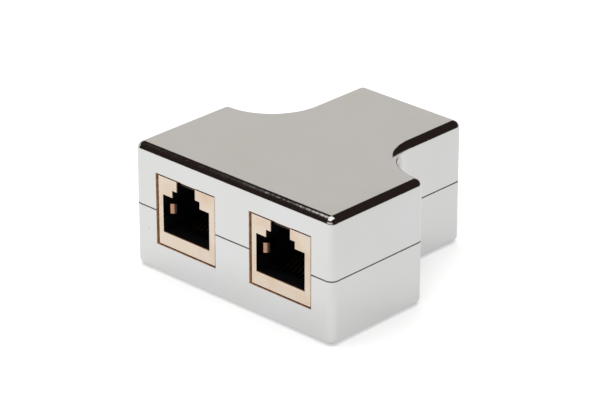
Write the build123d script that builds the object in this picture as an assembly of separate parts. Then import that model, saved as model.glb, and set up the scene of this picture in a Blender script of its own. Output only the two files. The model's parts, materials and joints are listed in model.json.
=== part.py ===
from build123d import *
import os

os.makedirs("parts", exist_ok=True)

# All sizes are in millimetres. The adapter stands on its base with the origin at the
# centre of its footprint, the two side-by-side sockets facing -Y and the third facing +Y.

# Housing, seen from outside
body_width = 50.1
body_depth = 49.1
body_height = 25.2
wing_depth = 24.5
neck_width = 25.6
bay_to_side = 1.5
edge_radius = 1.5
seam_height = 12.9
seam_bevel = 0.15

# Housing, inside
wall = 1.8
lip_height = 1.0
lip_thickness = 0.8
lip_clearance = 0.1
post_diameter = 4.6
shank_diameter = 3.6
pin_diameter = 2.0
pin_length = 4.5
pin_clearance = 0.05
pin_end_clearance = 0.3
post_to_wall = 0.6
post_to_socket = 0.6
ledge_width = 2.2
ledge_length = 6.0
rib_thickness = 1.2
rib_length = 9.0
rib_spacing = 6.0
rib_clearance = 0.05

# Circuit board
board_thickness = 1.6
board_to_wall = 0.4
board_hole_clearance = 0.2

# Sockets in the housing
left_socket_from_side = 13.35
right_socket_from_side = 12.75
socket_above_middle = 0.65
socket_recess = 0.15
socket_gap = 0.35

# Socket, outside
socket_width = 14.7
socket_height = 13.8
socket_depth = 16.5
sheet = 0.25
sheet_bend_radius = 0.3
body_to_sheet = 0.05
back_flap_gap = 0.1

# Stepped mouth that a modular plug enters, with its latch on top
mouth_floor = 2.6
mouth_width = 12.0
mouth_height = 7.65
step_width = 7.15
step_height = 1.45
key_width = 4.8
plug_depth = 12.0
step_depth = 9.5
key_depth = 7.5
shoulder_thickness = 1.6
latch_room_roof = 0.6
key_set_back = 0.6

# Ground fingers folded in from both sides of the mouth
finger_height = 1.95
finger_floor = 3.1
finger_straight = 1.9
finger_shoulder = 2.3
finger_shoulder_bulge = 0.55
finger_crest = 2.7
finger_bulge = 0.85
finger_length = 4.8
finger_clearance = 0.1

# Windows in the shield and the nubs that snap into them
window_width = 2.4
window_height = 1.6
window_from_face = 11.0
window_middle = 5.0
nub_clearance = 0.1
nub_below_sheet = 0.05

# Pegs and legs that go down through the board
peg_diameter = 3.1
peg_spacing = 10.6
peg_from_face = 7.5
peg_clearance = 0.05
leg_width = 1.6
leg_from_face = 10.5
leg_clearance = 0.15
stand_out = 0.6

# Spring contacts, their comb and their carrier
contact_count = 8
contact_pitch = 1.016
contact_width = 0.45
contact_thickness = 0.3
contact_hole_diameter = 0.8
contact_knee = 0.2
contact_clearance = 0.03
contact_height = 5.5
contact_straight = 0.8
contact_tip_from_face = 3.9
contact_tip_length = 1.0
contact_tip_clearance = 0.2
tail_from_carrier_front = 0.9
tail_row_spacing = 2.2
comb_slot_width = 0.6
comb_slot_depth = 0.9
comb_start = 3.2
carrier_width = 12.2
carrier_height = 8.4
carrier_clearance = 0.05

# Places that follow from the sizes above
bay_x = body_width / 2 - bay_to_side
bay_radius = bay_x - neck_width / 2
front_y = -body_depth / 2
wing_back_y = front_y + wing_depth
bay_centre_y = wing_back_y + bay_radius
left_socket_x = left_socket_from_side - body_width / 2
right_socket_x = body_width / 2 - right_socket_from_side
board_top = body_height / 2 + socket_above_middle - socket_height / 2
board_bottom = board_top - board_thickness
mouth_top = mouth_floor + mouth_height
step_top = mouth_top + step_height
sheet_roof = socket_height - sheet
body_top = sheet_roof - body_to_sheet
body_back = socket_depth - sheet - body_to_sheet
body_half_width = socket_width / 2 - sheet - body_to_sheet
carrier_back = body_back - carrier_clearance
contact_xs = [(i - (contact_count - 1) / 2) * contact_pitch for i in range(contact_count)]

# How far a cut runs past the face that it opens, and how near a line counts as on a plane
overcut = 1.0
near = 0.001

# The face of each socket, and the way it is turned to look out of the housing
sockets = {
    "front_left": Location((left_socket_x, front_y + socket_recess, board_top)),
    "front_right": Location((right_socket_x, front_y + socket_recess, board_top)),
    "rear": Location((0, -front_y - socket_recess, board_top), (0, 0, 180)),
}

# Three posts hang from the roof and meet three shanks that rise through the board
side_post_x = body_width / 2 - wall - post_to_wall - post_diameter / 2
side_post_y = wing_back_y - wall - post_diameter / 2
middle_post_y = front_y + socket_recess + socket_depth + post_to_socket + post_diameter / 2
post_places = [(0, middle_post_y), (-side_post_x, side_post_y), (side_post_x, side_post_y)]


def span(x0, x1, y0, y1, z0, z1):
    """Block between two planes in each direction."""
    size = (x1 - x0, y1 - y0, z1 - z0)
    return Pos((x0 + x1) / 2, (y0 + y1) / 2, (z0 + z1) / 2) * Box(*size)


def centred(width, y0, y1, z0, z1):
    """Block of a given width, centred on X = 0."""
    return span(-width / 2, width / 2, y0, y1, z0, z1)


def beside(side, x0, x1, y0, y1, z0, z1):
    """Block on the left (-1) or right (1), between two distances from X = 0."""
    low, high = sorted((side * x0, side * x1))
    return span(low, high, y0, y1, z0, z1)


def rod(diameter, x, y, z0, z1):
    """Upright round rod between two heights."""
    return Pos(x, y, (z0 + z1) / 2) * Cylinder(diameter / 2, z1 - z0)


def t_outline(inset):
    """Sharp-cornered plan of the T with its two round bays, moved inwards by inset."""
    half_wing = body_width / 2 - inset
    half_neck = neck_width / 2 - inset
    y0 = front_y + inset
    y1 = -front_y - inset
    wings = Pos(0, (y0 + bay_centre_y) / 2) * Rectangle(2 * half_wing, bay_centre_y - y0)
    for side in (-1, 1):
        wings -= Pos(side * bay_x, bay_centre_y) * Circle(bay_radius + inset)
    return wings + Pos(0, (y0 + y1) / 2) * Rectangle(2 * half_neck, y1 - y0)


def half_block(height):
    """Half of the outer form: upright and bottom edges rounded, bevelled where it meets its twin."""
    block = extrude(t_outline(0), height)
    upright = block.edges().filter_by(Axis.Z)
    bay_ends = upright.filter_by_position(Axis.Y, bay_centre_y - near, bay_centre_y + near)
    block = fillet(upright - bay_ends + block.edges().group_by(Axis.Z)[0], edge_radius)
    return chamfer(block.edges().group_by(Axis.Z)[-1], seam_bevel)


def socket_cutouts():
    """Windows in the housing walls, a little larger than each socket."""
    width = socket_width + 2 * socket_gap
    window = centred(width, -socket_recess - overcut, wall + overcut,
                     -socket_gap, socket_height + socket_gap)
    return [place * window for place in sockets.values()]


def lower_housing():
    """Lower shell with a raised lip, ledges under the board and hollow shanks through it."""
    shell = half_block(seam_height)
    shell -= Pos(0, 0, wall) * extrude(t_outline(wall), seam_height)
    lip = t_outline(wall - lip_thickness) - t_outline(wall)
    shell += Pos(0, 0, seam_height) * extrude(lip, lip_height)
    for x, y in post_places:
        shell += rod(shank_diameter, x, y, wall, seam_height)
        hole_bottom = seam_height - pin_length - pin_end_clearance
        shell -= rod(pin_diameter + 2 * pin_clearance, x, y, hole_bottom, seam_height)
    shell += centred(ledge_length, front_y + wall, front_y + wall + ledge_width, wall, board_bottom)
    ledges = ((body_width / 2, front_y + wing_depth / 2), (neck_width / 2, -front_y - ledge_length))
    for side in (-1, 1):
        for x_wall, y_middle in ledges:
            shell += beside(side, x_wall - wall - ledge_width, x_wall - wall,
                            y_middle - ledge_length / 2, y_middle + ledge_length / 2,
                            wall, board_bottom)
    return shell - socket_cutouts()


def upper_housing():
    """Upper shell with a rebate over the lip, posts with pins and ribs that hold the sockets."""
    roof = body_height - wall
    shell = Pos(0, 0, body_height) * mirror(half_block(body_height - seam_height), Plane.XY)
    shell -= Pos(0, 0, seam_height) * extrude(t_outline(wall), roof - seam_height)
    rebate = t_outline(wall - lip_thickness - lip_clearance)
    shell -= Pos(0, 0, seam_height) * extrude(rebate, lip_height + lip_clearance)
    for x, y in post_places:
        shell += rod(post_diameter, x, y, seam_height, roof)
        shell += rod(pin_diameter, x, y, seam_height - pin_length, seam_height)
    for place in sockets.values():
        for side in (-1, 1):
            rib = beside(side, (rib_spacing - rib_thickness) / 2, (rib_spacing + rib_thickness) / 2,
                         socket_depth - rib_length, socket_depth,
                         socket_height + rib_clearance, roof - board_top)
            shell += place * rib
    return shell - socket_cutouts()


def tail_y(index):
    """Distance of a contact's tail from the socket face: odd and even ones stand in two rows."""
    return plug_depth + tail_from_carrier_front + (index % 2) * tail_row_spacing


def circuit_board():
    """T-shaped board with holes for the shanks, pegs, shield legs and contact tails."""
    plan = t_outline(wall + board_to_wall)
    for x, y in post_places:
        plan -= Pos(x, y) * Circle(shank_diameter / 2 + board_hole_clearance)
    holes = []
    for index, x in enumerate(contact_xs):
        holes.append(Pos(x, tail_y(index)) * RegularPolygon(contact_hole_diameter / 2, 8))
    for side in (-1, 1):
        peg_hole = RegularPolygon(peg_diameter / 2 + peg_clearance, 8)
        holes.append(Pos(side * peg_spacing / 2, peg_from_face) * peg_hole)
        leg_x = side * (socket_width - sheet) / 2
        slot = Rectangle(sheet + 2 * leg_clearance, leg_width + 2 * leg_clearance)
        holes.append(Pos(leg_x, leg_from_face) * slot)
    for place in sockets.values():
        on_plane = Location((place.position.X, place.position.Y, 0), (0, 0, place.orientation.Z))
        plan -= [on_plane * hole for hole in holes]
    return Pos(0, 0, board_bottom) * extrude(plan, board_thickness)


def mouth_cut(depth_0, depth_1):
    """Stepped opening of the mouth between two depths, open at the top of its key slot."""
    cut = centred(mouth_width, depth_0, depth_1, mouth_floor, mouth_top)
    cut += centred(step_width, depth_0, depth_1, mouth_floor, step_top)
    return cut + centred(key_width, depth_0, depth_1, mouth_floor, sheet_roof)


def ground_finger():
    """Strip on the right of the mouth: folded in, bulged towards the plug, back to the wall."""
    x = (mouth_width + sheet) / 2
    points = [
        (x, 0),
        (x, finger_straight),
        (x - finger_shoulder_bulge, finger_shoulder),
        (x - finger_bulge, finger_crest),
        (x, finger_length),
    ]
    strip = extrude(trace(Polyline(*points), sheet), finger_height)
    return Pos(0, 0, mouth_floor + finger_floor) * strip


def shield():
    """Folded sheet: face split at the top by the key slot, sides, top and a hung back flap."""
    inner = socket_width / 2 - sheet
    box = centred(socket_width, 0, socket_depth, 0, socket_height)
    folds = box.edges().filter_by(Axis.Z).group_by(Axis.Y)[0]
    box = fillet(folds, sheet_bend_radius)
    box -= centred(2 * inner, sheet, socket_depth - sheet, -overcut, sheet_roof)
    box -= mouth_cut(-overcut, sheet + overcut)
    box -= centred(key_width, -overcut, key_set_back, sheet_roof, socket_height + overcut)
    for side in (-1, 1):
        box -= beside(side, inner - back_flap_gap, inner, socket_depth - sheet - overcut,
                      socket_depth + overcut, -overcut, sheet_roof)
        box += beside(side, inner, inner + sheet, leg_from_face - leg_width / 2,
                      leg_from_face + leg_width / 2, -board_thickness - stand_out, sheet)
    box -= centred(2 * socket_width, window_from_face, window_from_face + window_width,
                   window_middle - window_height / 2, window_middle + window_height / 2)
    finger = ground_finger()
    return box + finger + mirror(finger, Plane.YZ)


def socket_body():
    """Moulded body: plug cavity, latch shoulders, comb, carrier pocket, nubs and pegs."""
    front = sheet + body_to_sheet
    body = centred(2 * body_half_width, front, body_back, 0, body_top)
    body -= centred(mouth_width, 0, plug_depth, mouth_floor, mouth_top)
    body -= centred(step_width, 0, step_depth, mouth_floor, step_top)
    body -= centred(key_width, 0, key_depth, mouth_top, socket_height)
    room_back = front + shoulder_thickness
    body -= centred(step_width, room_back, step_depth, mouth_top, body_top - latch_room_roof)
    body -= centred(carrier_width + 2 * carrier_clearance, plug_depth, socket_depth,
                    -overcut, carrier_height + carrier_clearance)
    for x in contact_xs:
        body -= Pos(x) * centred(comb_slot_width, comb_start, plug_depth,
                                 mouth_floor - comb_slot_depth, mouth_top)
    recess_width = mouth_width + 2 * (sheet + finger_clearance)
    recess_floor = mouth_floor + finger_floor - finger_clearance
    body -= centred(recess_width, 0, finger_length + sheet + finger_clearance, recess_floor,
                    recess_floor + finger_height + 2 * finger_clearance)
    nub_top = window_middle + window_height / 2 - nub_clearance
    nub_bottom = window_middle - window_height / 2 + nub_clearance
    for side in (-1, 1):
        body += beside(side, body_half_width, socket_width / 2 - nub_below_sheet,
                       window_from_face + nub_clearance,
                       window_from_face + window_width - nub_clearance, nub_bottom, nub_top)
        peg = extrude(RegularPolygon(peg_diameter / 2, 8), -board_thickness - stand_out)
        body += Pos(side * peg_spacing / 2, peg_from_face) * peg
    return body


def contact(index):
    """One bent contact: tail, knee, run out of the carrier, slope and tip in the comb."""
    tip_height = mouth_floor - comb_slot_depth + contact_tip_clearance + contact_thickness / 2
    points = [
        (tail_y(index), -board_thickness - stand_out),
        (tail_y(index), contact_height),
        (plug_depth - contact_straight, contact_height),
        (contact_tip_from_face + contact_tip_length, tip_height),
        (contact_tip_from_face, tip_height),
    ]
    profile = trace(Polyline(*points), contact_thickness)
    knee = profile.vertices().group_by(Axis.X)[-1].sort_by(Axis.Y)[-1]
    profile = Plane.YZ * chamfer(knee, contact_knee)
    return Pos(contact_xs[index] - contact_width / 2) * extrude(profile, contact_width)


def carrier():
    """Insert that fills the pocket at the back of the body and grips the eight contacts."""
    front = plug_depth + carrier_clearance
    block = centred(carrier_width, front, carrier_back, 0, carrier_height)
    width = contact_width + 2 * contact_clearance
    half_gap = contact_thickness / 2 + contact_clearance
    for index, x in enumerate(contact_xs):
        back = tail_y(index) + half_gap
        run = centred(width, 0, back, contact_height - half_gap, contact_height + half_gap)
        drop = centred(width, back - 2 * half_gap, back, -overcut, contact_height + half_gap)
        block -= Pos(x) * (run + drop)
    return block


pieces = {
    "upper_housing": upper_housing(),
    "lower_housing": lower_housing(),
    "circuit_board": circuit_board(),
}
for name, place in sockets.items():
    pieces[name + "_shield"] = place * shield()
    pieces[name + "_body"] = place * socket_body()
    pieces[name + "_carrier"] = place * carrier()
    for index in range(contact_count):
        pieces[f"{name}_contact_{index + 1}"] = place * contact(index)

for name, piece in pieces.items():
    export_step(piece, f"parts/{name}.step")
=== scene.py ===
import json
import math
import bpy
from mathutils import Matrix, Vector

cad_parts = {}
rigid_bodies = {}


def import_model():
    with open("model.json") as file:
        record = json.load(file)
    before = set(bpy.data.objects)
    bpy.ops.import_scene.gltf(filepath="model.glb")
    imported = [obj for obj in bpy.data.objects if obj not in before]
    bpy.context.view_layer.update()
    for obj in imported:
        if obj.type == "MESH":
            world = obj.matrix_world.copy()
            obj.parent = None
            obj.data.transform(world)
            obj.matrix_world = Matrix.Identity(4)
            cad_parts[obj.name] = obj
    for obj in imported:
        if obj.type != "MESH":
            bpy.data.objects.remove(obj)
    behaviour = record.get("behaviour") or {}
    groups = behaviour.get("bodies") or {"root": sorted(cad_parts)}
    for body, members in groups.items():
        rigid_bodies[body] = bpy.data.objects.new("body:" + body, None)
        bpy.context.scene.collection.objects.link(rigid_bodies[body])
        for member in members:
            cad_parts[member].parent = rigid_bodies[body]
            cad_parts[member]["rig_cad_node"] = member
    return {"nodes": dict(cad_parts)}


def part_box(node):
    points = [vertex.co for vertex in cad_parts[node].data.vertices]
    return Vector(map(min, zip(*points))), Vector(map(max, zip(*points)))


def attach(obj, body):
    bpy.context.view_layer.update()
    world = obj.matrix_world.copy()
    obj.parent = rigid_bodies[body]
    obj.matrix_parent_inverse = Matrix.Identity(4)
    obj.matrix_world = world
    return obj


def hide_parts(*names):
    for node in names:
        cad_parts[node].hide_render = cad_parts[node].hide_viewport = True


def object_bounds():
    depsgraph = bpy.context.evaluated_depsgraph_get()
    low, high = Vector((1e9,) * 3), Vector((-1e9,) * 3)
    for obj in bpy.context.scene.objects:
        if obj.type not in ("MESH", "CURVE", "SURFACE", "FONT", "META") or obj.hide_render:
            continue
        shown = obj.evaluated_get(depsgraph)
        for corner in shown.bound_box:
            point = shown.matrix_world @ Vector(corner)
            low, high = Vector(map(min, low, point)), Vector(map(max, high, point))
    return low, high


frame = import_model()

cad_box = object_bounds()

# The camera: a long lens about 0.6 m from the adapter, above and to the right of the
# two side-by-side sockets. The picture is 600 by 400 points.
azimuth = math.radians(43.55)
elevation = math.radians(24.97)
distance = 0.5922
focal_points = 3011.2
picture_width = 600
sensor_width = 36.0
nearest_seen = 0.01
farthest_seen = 20.0
looked_at = Vector((-0.0222, 0.01699, 0.0))

back = Vector((math.sin(azimuth) * math.cos(elevation),
               -math.cos(azimuth) * math.cos(elevation),
               math.sin(elevation)))
camera_data = bpy.data.cameras.new("camera")
camera_data.sensor_width = sensor_width
camera_data.lens = focal_points / picture_width * sensor_width
camera_data.clip_start = nearest_seen
camera_data.clip_end = farthest_seen
camera = bpy.data.objects.new("camera", camera_data)
camera.location = looked_at + back * distance
camera.rotation_mode = "QUATERNION"
camera.rotation_quaternion = (-back).to_track_quat("-Z", "Y")
bpy.context.scene.collection.objects.link(camera)
bpy.context.scene.camera = camera

# The housing: two thin shells moulded in ABS and plated all over with bright nickel, pushed
# together on pins. The plating follows the moulding's slight sink marks and ripples, and it
# carries faint wipe marks and a few specks of dust under the metal.
NICKEL = "DCDCDD"
NICKEL_WARM = "DBDBD9"
SPECK = "6E655C"
plate_roughness = (0.06, 0.10)
sink_mark = 0.009
sink_depth = 0.00003
ripple = 0.0011
ripple_height = 0.000009
orange_peel = 0.0007
peel_height = 0.000001
wipe_mark = 0.014
speck_spacing = 0.0035
speck_share = 0.14
speck_radius = 0.00010
sharp_edge = math.radians(30)
same_point = 1e-6


def linear(code):
    """Linear colour, with full alpha, of an sRGB hex value."""
    shares = [int(code[i:i + 2], 16) / 255 for i in (0, 2, 4)]
    return (*[s / 12.92 if s <= 0.04045 else ((s + 0.055) / 1.055) ** 2.4 for s in shares], 1.0)


def add(tree, kind, inputs, **settings):
    """Adds a node. Its inputs are plain values, or output sockets of nodes that feed them."""
    made = tree.nodes.new("ShaderNode" + kind)
    for name, value in settings.items():
        setattr(made, name, value)
    for name, value in inputs.items():
        if isinstance(value, bpy.types.NodeSocket):
            tree.links.new(value, made.inputs[name])
        else:
            made.inputs[name].default_value = value
    return made


def new_material(name):
    """A material with its node tree and its shader node."""
    material = bpy.data.materials.new(name)
    material.use_nodes = True
    return material, material.node_tree, material.node_tree.nodes["Principled BSDF"]


# Bright nickel over moulded ABS: a mirror that blurs a little, greyer where it has been wiped
nickel, tree, shader = new_material("bright_nickel_on_moulded_abs")
place = add(tree, "TexCoord", {}).outputs["Object"]
wipes = add(tree, "TexNoise", {"Vector": place, "Scale": 1 / wipe_mark, "Detail": 4.0,
                               "Roughness": 0.6, "Distortion": 0.2})
wiped = add(tree, "MapRange", {"Value": wipes.outputs["Fac"], "From Min": 0.4, "From Max": 0.62,
                               "To Min": 0.0, "To Max": 1.0})
dust = add(tree, "TexVoronoi", {"Vector": place, "Scale": 1 / speck_spacing})
dust_random = add(tree, "SeparateColor", {"Color": dust.outputs["Color"]})
chosen = add(tree, "Math", {0: dust_random.outputs["Red"], 1: 1 - speck_share},
             operation="GREATER_THAN")
near_middle = add(tree, "Math", {0: dust.outputs["Distance"], 1: speck_radius / speck_spacing},
                  operation="LESS_THAN")
speck = add(tree, "Math", {0: chosen.outputs[0], 1: near_middle.outputs[0]}, operation="MULTIPLY")
plate = add(tree, "Mix", {"Factor": wiped.outputs["Result"], "A": linear(NICKEL),
                          "B": linear(NICKEL_WARM)}, data_type="RGBA")
specked = add(tree, "Mix", {"Factor": speck.outputs[0], "A": plate.outputs["Result"],
                            "B": linear(SPECK)}, data_type="RGBA")
blur = add(tree, "MapRange", {"Value": wipes.outputs["Fac"], "From Min": 0.35, "From Max": 0.7,
                              "To Min": plate_roughness[0], "To Max": plate_roughness[1]})
sinks = add(tree, "TexNoise", {"Vector": place, "Scale": 1 / sink_mark, "Detail": 1.0})
ripples = add(tree, "TexNoise", {"Vector": place, "Scale": 1 / ripple, "Detail": 1.0})
peel = add(tree, "TexNoise", {"Vector": place, "Scale": 1 / orange_peel, "Detail": 2.0})
sunk = add(tree, "Bump", {"Height": sinks.outputs["Fac"], "Strength": 1.0,
                          "Distance": sink_depth})
rippled = add(tree, "Bump", {"Height": ripples.outputs["Fac"], "Normal": sunk.outputs["Normal"],
                             "Strength": 1.0, "Distance": ripple_height})
peeled = add(tree, "Bump", {"Height": peel.outputs["Fac"], "Normal": rippled.outputs["Normal"],
                            "Strength": 1.0, "Distance": peel_height})
shader.inputs["Metallic"].default_value = 1.0
tree.links.new(specked.outputs["Result"], shader.inputs["Base Color"])
tree.links.new(blur.outputs["Result"], shader.inputs["Roughness"])
tree.links.new(peeled.outputs["Normal"], shader.inputs["Normal"])

# Copper strike that shows where the nickel is thin, on the walls of the narrow gap round each
# socket. It is dull and brown.
STRIKE = "E8B68C"
STRIKE_DARK = "BE885E"
strike_patch = 0.0012

strike, tree, shader = new_material("copper_strike_under_thin_nickel")
place = add(tree, "TexCoord", {}).outputs["Object"]
patches = add(tree, "TexNoise", {"Vector": place, "Scale": 1 / strike_patch, "Detail": 3.0})
thin = add(tree, "MapRange", {"Value": patches.outputs["Fac"], "From Min": 0.35, "From Max": 0.65})
tone = add(tree, "Mix", {"Factor": thin.outputs["Result"], "A": linear(STRIKE),
                         "B": linear(STRIKE_DARK)}, data_type="RGBA")
shader.inputs["Metallic"].default_value = 0.2
shader.inputs["Roughness"].default_value = 0.6
tree.links.new(tone.outputs["Result"], shader.inputs["Base Color"])

# Painted shade in the groove of the seam: a mottled brownish grey, darker than the plating
SEAM_SHADE = "A09490"
SEAM_SHADE_DARK = "7E736F"
seam_shade_mottle = 0.0005

seam_shade, tree, shader = new_material("painted_shade_in_the_seam")
place = add(tree, "TexCoord", {}).outputs["Object"]
shade_mottles = add(tree, "TexNoise", {"Vector": place, "Scale": 1 / seam_shade_mottle, "Detail": 3.0})
tone = add(tree, "Mix", {"Factor": shade_mottles.outputs["Fac"], "A": linear(SEAM_SHADE),
                         "B": linear(SEAM_SHADE_DARK)}, data_type="RGBA")
shader.inputs["Roughness"].default_value = 0.9
tree.links.new(tone.outputs["Result"], shader.inputs["Base Color"])

sockets = ("front_left", "front_right", "rear")
socket_boxes = [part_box(socket + "_shield") for socket in sockets]
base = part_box("front_left_carrier")[0].z
wall_thickness = 0.0018
gap_reach = 0.0005
edge_on = 0.01
to_the_left = -0.5
seam_level = (0.0127, 0.0131)
groove_slope = (0.6, 0.8)
same_plane = math.radians(0.5)


def in_a_gap(face):
    """True for a wall of the window round a socket, but not for one that faces left."""
    x, y, z = face.center
    for low, high in socket_boxes:
        beside = low.x - gap_reach < x < high.x + gap_reach
        level = base - gap_reach < z < high.z + gap_reach
        if beside and level and abs(y) > cad_box[1][1] - wall_thickness:
            return abs(face.normal.y) < edge_on and face.normal.x > to_the_left
    return False


def in_groove(face):
    """True for the sloping faces of the groove along the seam."""
    sloping = groove_slope[0] < abs(face.normal.z) < groove_slope[1]
    return sloping and seam_level[0] < face.center.z < seam_level[1]


def merged_copy(node, name, materials):
    """A copy of a CAD node with its loose triangles joined, so that it shades smoothly."""
    bpy.ops.object.select_all(action="DESELECT")
    bpy.context.view_layer.objects.active = frame["nodes"][node]
    frame["nodes"][node].select_set(True)
    bpy.ops.object.duplicate()
    made = bpy.context.active_object
    made.name = name
    del made["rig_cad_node"]
    made.data.materials.clear()
    for material in materials:
        made.data.materials.append(material)
    bpy.ops.object.mode_set(mode="EDIT")
    bpy.ops.mesh.select_all(action="SELECT")
    bpy.ops.mesh.remove_doubles(threshold=same_point)
    bpy.ops.mesh.dissolve_limited(angle_limit=same_plane)
    bpy.ops.object.mode_set(mode="OBJECT")
    bpy.ops.object.shade_smooth_by_angle(angle=sharp_edge)
    even = made.modifiers.new("even", "WEIGHTED_NORMAL")
    even.keep_sharp = True
    bpy.ops.object.modifier_apply(modifier="even")
    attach(made, "root")
    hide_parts(node)
    return made


for half in ("upper", "lower"):
    shell = merged_copy(half + "_housing", half + "_shell", (nickel, strike, seam_shade))
    for face in shell.data.polygons:
        # The sloping faces of the seam's groove take the painted shade
        if in_groove(face):
            face.material_index = 2
        elif in_a_gap(face):
            face.material_index = 1

# The three socket shields: each is punched and folded from thin phosphor bronze sheet, then
# plated with satin nickel. The plating is thin, so the metal looks creamy, and it is faintly
# streaked along the way the strip was rolled.
SATIN_NICKEL = "E4D5C4"
BRONZE_SHOWING = "DDBFA6"
shield_roughness = (0.26, 0.36)
streak_length = 0.006
streak_width = 0.00035
ridge_height = 0.0000012
most_bronze = 0.7

satin, tree, shader = new_material("satin_nickel_on_bronze_sheet")
place = add(tree, "TexCoord", {}).outputs["Object"]
rolled = add(tree, "Mapping", {"Vector": place, "Scale": (1 / streak_length, 1 / streak_width,
                                                         1 / streak_width)})
streaks = add(tree, "TexNoise", {"Vector": rolled.outputs["Vector"], "Scale": 1.0, "Detail": 3.0})
patches = add(tree, "TexNoise", {"Vector": place, "Scale": 1 / streak_length, "Detail": 2.0})
showing = add(tree, "MapRange", {"Value": patches.outputs["Fac"], "From Min": 0.45,
                                 "From Max": 0.75, "To Min": 0.0, "To Max": most_bronze})
tone = add(tree, "Mix", {"Factor": showing.outputs["Result"], "A": linear(SATIN_NICKEL),
                         "B": linear(BRONZE_SHOWING)}, data_type="RGBA")
blur = add(tree, "MapRange", {"Value": streaks.outputs["Fac"], "From Min": 0.3, "From Max": 0.7,
                              "To Min": shield_roughness[0], "To Max": shield_roughness[1]})
ridges = add(tree, "Bump", {"Height": streaks.outputs["Fac"], "Strength": 1.0,
                            "Distance": ridge_height})
shader.inputs["Metallic"].default_value = 1.0
tree.links.new(tone.outputs["Result"], shader.inputs["Base Color"])
tree.links.new(blur.outputs["Result"], shader.inputs["Roughness"])
tree.links.new(ridges.outputs["Normal"], shader.inputs["Normal"])

# The punched edges of the strip are bare bronze, torn and tarnished to a dull brown. The top
# sheets, which show only as a thin line through the gap above them, are given the same brown
# as painted light, which makes that line lighter in the shade of the gap.
BRONZE_EDGE_AND_PAINTED_LIGHT = "B8865E"
BRONZE_EDGE_AND_PAINTED_LIGHT_DARK = "84583C"
tear = 0.0003
tear_depth = 0.00001

bare_edge_and_painted_light, tree, shader = new_material("bare_punched_edge_and_painted_light_on_top_sheets")
place = add(tree, "TexCoord", {}).outputs["Object"]
tears = add(tree, "TexNoise", {"Vector": place, "Scale": 1 / tear, "Detail": 3.0})
tone = add(tree, "Mix", {"Factor": tears.outputs["Fac"], "A": linear(BRONZE_EDGE_AND_PAINTED_LIGHT),
                         "B": linear(BRONZE_EDGE_AND_PAINTED_LIGHT_DARK)}, data_type="RGBA")
torn = add(tree, "Bump", {"Height": tears.outputs["Fac"], "Strength": 1.0,
                          "Distance": tear_depth})
shader.inputs["Metallic"].default_value = 0.3
shader.inputs["Roughness"].default_value = 0.6
tree.links.new(tone.outputs["Result"], shader.inputs["Base Color"])
tree.links.new(torn.outputs["Normal"], shader.inputs["Normal"])

# The ground fingers at the mouth's sides carry painted light and shade: a pale band at their
# shoulders where light reaches into the mouth, and painted shade on either side of it, darkest
# where they turn away into the dark. Plugs rub them, which varies their roughness. The lip over
# the latch slot takes the same painted shade.
FINGER_PAINTED_LIGHT = "C69A7E"
FINGER_PAINTED_SHADE = "3C312E"
shield_front = -socket_boxes[0][0].y
painted_light_middle = 0.0020
painted_light_half = (0.00012, 0.00042)
rub = 0.0004
rub_roughness = (0.3, 0.45)

finger_light_and_shade, tree, shader = new_material("nickel_on_ground_fingers_with_painted_light_and_shade")
place = add(tree, "TexCoord", {}).outputs["Object"]
part = add(tree, "SeparateXYZ", {"Vector": place})
from_middle = add(tree, "Math", {0: part.outputs["Y"]}, operation="ABSOLUTE")
from_painted_light = add(tree, "Math", {0: from_middle.outputs[0], 1: shield_front - painted_light_middle},
                operation="SUBTRACT")
from_painted_light = add(tree, "Math", {0: from_painted_light.outputs[0]}, operation="ABSOLUTE")
# Painted shade on either side of the pale painted band
painted_shade_share = add(tree, "MapRange", {"Value": from_painted_light.outputs[0], "From Min": painted_light_half[0],
                                   "From Max": painted_light_half[1]})
rubs = add(tree, "TexNoise", {"Vector": place, "Scale": 1 / rub, "Detail": 3.0})
tone = add(tree, "Mix", {"Factor": painted_shade_share.outputs["Result"], "A": linear(FINGER_PAINTED_LIGHT),
                         "B": linear(FINGER_PAINTED_SHADE)}, data_type="RGBA")
blur = add(tree, "MapRange", {"Value": rubs.outputs["Fac"], "From Min": 0.3, "From Max": 0.7,
                              "To Min": rub_roughness[0], "To Max": rub_roughness[1]})
shader.inputs["Metallic"].default_value = 1.0
tree.links.new(tone.outputs["Result"], shader.inputs["Base Color"])
tree.links.new(blur.outputs["Result"], shader.inputs["Roughness"])

facing_up = 0.9
mouth_half = 0.0061
edge_depths = (0.00005, 0.0003)
finger_depths = (0.0003, 0.005)
finger_sides = (0.005, 0.0064)

# The lip is a narrow dark strip of painted shade that hangs under the front edge of the top
# sheet, at the latch slot
lip_size = (0.0046, 0.00015, 0.0004)
lip_depth = 0.0006
sheet = 0.00025

for socket, (low, high) in zip(sockets, socket_boxes):
    middle = (low.x + high.x) / 2
    shield = merged_copy(socket + "_shield", socket + "_can", (satin, bare_edge_and_painted_light, finger_light_and_shade))
    for face in shield.data.polygons:
        depth = high.y - face.center.y if socket == "rear" else face.center.y - low.y
        off = abs(face.center.x - middle)
        # The top sheets take the brown as painted light; the punched edges are bare bronze
        top_in_painted_light = face.normal.z > facing_up and face.center.z > high.z - same_point
        on_edge = off < mouth_half and edge_depths[0] < depth < edge_depths[1]
        beside_mouth = finger_sides[0] < off < finger_sides[1]
        if top_in_painted_light or on_edge:
            face.material_index = 1
        # The fingers take the painted light and shade
        elif beside_mouth and finger_depths[0] < depth < finger_depths[1]:
            face.material_index = 2
    way = 1 if socket == "rear" else -1
    lip_y = way * (shield_front - lip_depth - lip_size[1] / 2)
    lip_z = high.z - sheet - lip_size[2] / 2
    bpy.ops.mesh.primitive_cube_add(size=1.0, location=(middle, lip_y, lip_z))
    lip = bpy.context.active_object
    lip.name = socket + "_painted_shade_strip"
    lip.scale = lip_size
    bpy.ops.object.transform_apply(location=True, rotation=False, scale=True)
    # The strip is coloured with the fingers' painted shade
    lip.data.materials.append(finger_light_and_shade)
    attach(lip, "root")

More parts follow.
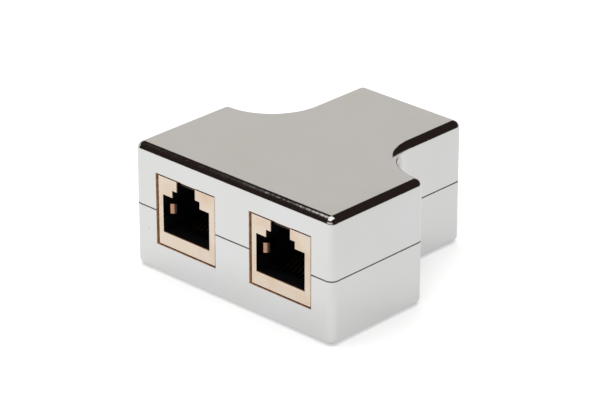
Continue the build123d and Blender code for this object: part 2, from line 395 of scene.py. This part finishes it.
# The moulded bodies and the inserts that hold the contacts: black PBT filled with short glass
# fibre, moulded in a spark-eroded tool, so it is matt and finely grained.
PBT_BLACK = "080809"
PBT_GREY = "0F0E10"
grain = 0.00018
grain_depth = 0.000012
fibre_patch = 0.002
pbt_roughness = (0.62, 0.75)

pbt, tree, shader = new_material("glass_filled_black_pbt")
place = add(tree, "TexCoord", {}).outputs["Object"]
grains = add(tree, "TexNoise", {"Vector": place, "Scale": 1 / grain, "Detail": 2.0})
patches = add(tree, "TexNoise", {"Vector": place, "Scale": 1 / fibre_patch, "Detail": 3.0})
tone = add(tree, "Mix", {"Factor": patches.outputs["Fac"], "A": linear(PBT_BLACK),
                         "B": linear(PBT_GREY)}, data_type="RGBA")
blur = add(tree, "MapRange", {"Value": patches.outputs["Fac"], "From Min": 0.3, "From Max": 0.7,
                              "To Min": pbt_roughness[0], "To Max": pbt_roughness[1]})
grained = add(tree, "Bump", {"Height": grains.outputs["Fac"], "Strength": 0.6,
                             "Distance": grain_depth})
shader.inputs["IOR"].default_value = 1.5
shader.inputs["Specular IOR Level"].default_value = 0.15
tree.links.new(tone.outputs["Result"], shader.inputs["Base Color"])
tree.links.new(blur.outputs["Result"], shader.inputs["Roughness"])
tree.links.new(grained.outputs["Normal"], shader.inputs["Normal"])

for socket in sockets:
    for part in ("_body", "_carrier"):
        frame["nodes"][socket + part].data.materials.clear()
        frame["nodes"][socket + part].data.materials.append(pbt)

# The spring contacts: phosphor bronze wire drawn flat and bent, with hard gold over nickel
# where the plug touches. Drawing leaves fine lines along the wire. The gold is set dull and
# darker than new gold, as painted shade, because the photo shows none of it in the dark mouths.
GOLD_IN_PAINTED_SHADE = "64512C"
GOLD_DARK_IN_PAINTED_SHADE = "3A2E18"
draw_line = 0.00008
gold_roughness = (0.5, 0.65)

gold_in_painted_shade, tree, shader = new_material("hard_gold_on_drawn_bronze_in_painted_shade")
place = add(tree, "TexCoord", {}).outputs["Object"]
drawn = add(tree, "Mapping", {"Vector": place, "Scale": (1 / draw_line, 0.1 / draw_line,
                                                        0.1 / draw_line)})
lines = add(tree, "TexNoise", {"Vector": drawn.outputs["Vector"], "Scale": 1.0, "Detail": 2.0})
tone = add(tree, "Mix", {"Factor": lines.outputs["Fac"], "A": linear(GOLD_IN_PAINTED_SHADE),
                         "B": linear(GOLD_DARK_IN_PAINTED_SHADE)}, data_type="RGBA")
blur = add(tree, "MapRange", {"Value": lines.outputs["Fac"], "From Min": 0.3, "From Max": 0.7,
                              "To Min": gold_roughness[0], "To Max": gold_roughness[1]})
shader.inputs["Metallic"].default_value = 1.0
tree.links.new(tone.outputs["Result"], shader.inputs["Base Color"])
tree.links.new(blur.outputs["Result"], shader.inputs["Roughness"])

contacts_in_socket = 8
for socket in sockets:
    for number in range(1, contacts_in_socket + 1):
        contact = frame["nodes"][f"{socket}_contact_{number}"]
        # Every contact takes the gold darkened by painted shade
        contact.data.materials.clear()
        contact.data.materials.append(gold_in_painted_shade)

# The circuit board: glass fibre and epoxy laminate under green solder resist. The weave of
# the glass shows faintly through the resist.
RESIST = "17603A"
RESIST_DARK = "0F4A2B"
thread_spacing = 0.0005
thread_height = 0.00002

laminate, tree, shader = new_material("green_resist_on_glass_epoxy")
place = add(tree, "TexCoord", {}).outputs["Object"]
weave = []
for direction in ("X", "Y"):
    weave.append(add(tree, "TexWave", {"Vector": place, "Scale": 1 / thread_spacing / math.tau},
                     wave_type="BANDS", bands_direction=direction).outputs["Fac"])
cloth = add(tree, "Math", {0: weave[0], 1: weave[1]}, operation="MULTIPLY")
tone = add(tree, "Mix", {"Factor": cloth.outputs[0], "A": linear(RESIST_DARK),
                         "B": linear(RESIST)}, data_type="RGBA")
threads = add(tree, "Bump", {"Height": cloth.outputs[0], "Strength": 0.4,
                             "Distance": thread_height})
shader.inputs["Roughness"].default_value = 0.32
tree.links.new(tone.outputs["Result"], shader.inputs["Base Color"])
tree.links.new(threads.outputs["Normal"], shader.inputs["Normal"])
frame["nodes"]["circuit_board"].data.materials.clear()
frame["nodes"]["circuit_board"].data.materials.append(laminate)

# The floor: a wide pale sheet under the adapter. The camera sees it white, with the soft
# shadow close round the adapter. The metal sees it with a painted shade, darker towards the back
# right, so the adapter's right side mirrors it darker.
FLOOR = "E6E6E5"
FLOOR_SHADE = "E2E2E2"
FLOOR_IN_METAL = "B4B4B3"
glow_to_camera = 0.40
glow_to_metal = (0.53, 0.41)
painted_shade_reach = 0.04
painted_shade_way = (0.707, 0.707, 0.0)
floor_size = 8.0
floor_drop = 0.00002
paper_cloud = 0.25

bpy.ops.object.select_all(action="DESELECT")
bpy.ops.mesh.primitive_plane_add(size=floor_size, location=(0, 0, -floor_drop))
floor = bpy.context.active_object
floor.name = "floor"
paper, tree, shader = new_material("pale_studio_paper")
place = add(tree, "TexCoord", {}).outputs["Object"]
clouds = add(tree, "TexNoise", {"Vector": place, "Scale": 1 / paper_cloud, "Detail": 1.0})
tone = add(tree, "Mix", {"Factor": clouds.outputs["Fac"], "A": linear(FLOOR),
                         "B": linear(FLOOR_SHADE)}, data_type="RGBA")
ray = add(tree, "LightPath", {})
metal = add(tree, "Math", {0: ray.outputs["Is Glossy Ray"], 1: ray.outputs["Is Transmission Ray"]},
            operation="MAXIMUM")
tone = add(tree, "Mix", {"Factor": metal.outputs[0], "A": tone.outputs["Result"],
                         "B": linear(FLOOR_IN_METAL)}, data_type="RGBA")
# Painted shade: the glow that the metal sees fades towards the back right
towards = add(tree, "VectorMath", {0: place, 1: painted_shade_way}, operation="DOT_PRODUCT")
painted_shade_fade = add(tree, "MapRange", {"Value": towards.outputs["Value"], "From Min": -painted_shade_reach,
                              "From Max": painted_shade_reach, "To Min": glow_to_metal[0],
                              "To Max": glow_to_metal[1]})
in_metal = add(tree, "Math", {0: metal.outputs[0], 1: painted_shade_fade.outputs["Result"]},
               operation="MULTIPLY")
glow = add(tree, "Math", {0: ray.outputs["Is Camera Ray"], 1: glow_to_camera,
                          2: in_metal.outputs[0]}, operation="MULTIPLY_ADD")
shader.inputs["Roughness"].default_value = 1.0
shader.inputs["Specular IOR Level"].default_value = 0.0
shader.inputs["Emission Color"].default_value = (1.0, 1.0, 1.0, 1.0)
tree.links.new(tone.outputs["Result"], shader.inputs["Base Color"])
tree.links.new(glow.outputs[0], shader.inputs["Emission Strength"])
floor.data.materials.append(paper)

# The studio round it: white behind for the camera. The metal sees a dark room with a pale
# screen behind the adapter, lower to the right, a smaller one in front, and a broad square
# soft box overhead. It is set for the main camera: from the left, the top mirrors the dark room.
PALE_SCREEN = "D9D5D0"
DARK_ROOM = "2A211E"
screen_way = (-0.689, 0.725, 0.0)
screen_right = (0.725, 0.689, 0.0)
screen_top = math.sin(math.radians(29))
screen_fall = 0.48
screen_blur = 0.015
screen_behind = 0.15
front_screen_way = (0.208, -0.978, 0.0)
front_screen_side = (math.cos(math.radians(42)), math.cos(math.radians(38)))
front_screen_foot = (math.sin(math.radians(7)), math.sin(math.radians(9)))
box_middle = (-0.2275, -0.11)
box_half = (0.5575, 0.71)
box_blur = 0.025
box_foot = 0.2
box_seen = 1.2
fill_light = 0.3

world = bpy.data.worlds.new("studio")
world.use_nodes = True
bpy.context.scene.world = world
tree = world.node_tree
tree.nodes.clear()
way = add(tree, "TexCoord", {}).outputs["Generated"]
part = add(tree, "SeparateXYZ", {"Vector": way})
height = part.outputs["Z"]
level = add(tree, "VectorMath", {0: way, 1: (1.0, 1.0, 0.0)}, operation="MULTIPLY")
level = add(tree, "VectorMath", {0: level.outputs["Vector"]}, operation="NORMALIZE")
behind = add(tree, "VectorMath", {0: level.outputs["Vector"], 1: screen_way},
             operation="DOT_PRODUCT")
behind = add(tree, "Math", {0: behind.outputs["Value"], 1: screen_behind},
             operation="GREATER_THAN")
right = add(tree, "VectorMath", {0: level.outputs["Vector"], 1: screen_right},
            operation="DOT_PRODUCT")
fallen = add(tree, "Math", {0: right.outputs["Value"], 1: 0.0}, operation="MAXIMUM")
over_top = add(tree, "Math", {0: fallen.outputs[0], 1: screen_fall, 2: height},
               operation="MULTIPLY_ADD")
below = add(tree, "MapRange", {"Value": over_top.outputs[0], "From Min": screen_top + screen_blur,
                               "From Max": screen_top - screen_blur})
back_screen = add(tree, "Math", {0: behind.outputs[0], 1: below.outputs["Result"]},
                  operation="MULTIPLY")
ahead = add(tree, "VectorMath", {0: level.outputs["Vector"], 1: front_screen_way},
            operation="DOT_PRODUCT")
ahead = add(tree, "MapRange", {"Value": ahead.outputs["Value"], "From Min": front_screen_side[0],
                               "From Max": front_screen_side[1]})
above = add(tree, "MapRange", {"Value": height, "From Min": front_screen_foot[0],
                               "From Max": front_screen_foot[1]})
below = add(tree, "MapRange", {"Value": height, "From Min": screen_top + screen_blur,
                               "From Max": screen_top - screen_blur})
front_screen = add(tree, "Math", {0: ahead.outputs["Result"], 1: above.outputs["Result"]},
                   operation="MULTIPLY")
front_screen = add(tree, "Math", {0: front_screen.outputs[0], 1: below.outputs["Result"]},
                   operation="MULTIPLY")
on_screen = add(tree, "Math", {0: back_screen.outputs[0], 1: front_screen.outputs[0]},
                operation="MAXIMUM")
room = add(tree, "Mix", {"Factor": on_screen.outputs[0], "A": linear(DARK_ROOM),
                         "B": linear(PALE_SCREEN)}, data_type="RGBA")
in_box = add(tree, "Math", {0: height, 1: box_foot}, operation="GREATER_THAN")
for across, middle, half in zip(("X", "Y"), box_middle, box_half):
    slant = add(tree, "Math", {0: part.outputs[across], 1: height}, operation="DIVIDE")
    off = add(tree, "Math", {0: slant.outputs[0], 1: middle}, operation="SUBTRACT")
    off = add(tree, "Math", {0: off.outputs[0]}, operation="ABSOLUTE")
    inside = add(tree, "MapRange", {"Value": off.outputs[0], "From Min": half + box_blur,
                                    "From Max": half - box_blur})
    in_box = add(tree, "Math", {0: in_box.outputs[0], 1: inside.outputs["Result"]},
                 operation="MULTIPLY")
seen_by_metal = add(tree, "Mix", {"Factor": in_box.outputs[0], "A": room.outputs["Result"],
                                  "B": (box_seen, box_seen, box_seen, 1.0)}, data_type="RGBA")
ray = add(tree, "LightPath", {})
lit = add(tree, "Mix", {"Factor": ray.outputs["Is Glossy Ray"],
                        "A": (fill_light, fill_light, fill_light, 1.0),
                        "B": seen_by_metal.outputs["Result"]}, data_type="RGBA")
shown = add(tree, "Mix", {"Factor": ray.outputs["Is Camera Ray"], "A": lit.outputs["Result"],
                          "B": (1.0, 1.0, 1.0, 1.0)}, data_type="RGBA")
background = add(tree, "Background", {"Color": shown.outputs["Result"], "Strength": 1.0})
add(tree, "OutputWorld", {"Surface": background.outputs["Background"]})

# The soft box itself, a square lamp hung over the adapter and a little to its front left. It
# lights the floor and what isn't metal. The metal sees the box in the studio above instead.
box_size = 0.9
box_place = (-0.05, -0.05, 0.75)
box_watts = 6.6
soft_box_data = bpy.data.lights.new("soft_box", "AREA")
soft_box_data.shape = "SQUARE"
soft_box_data.size = box_size
soft_box_data.energy = box_watts
soft_box = bpy.data.objects.new("soft_box", soft_box_data)
soft_box.location = box_place
soft_box.visible_glossy = False
bpy.context.scene.collection.objects.link(soft_box)

bpy.context.scene.view_settings.view_transform = "Standard"
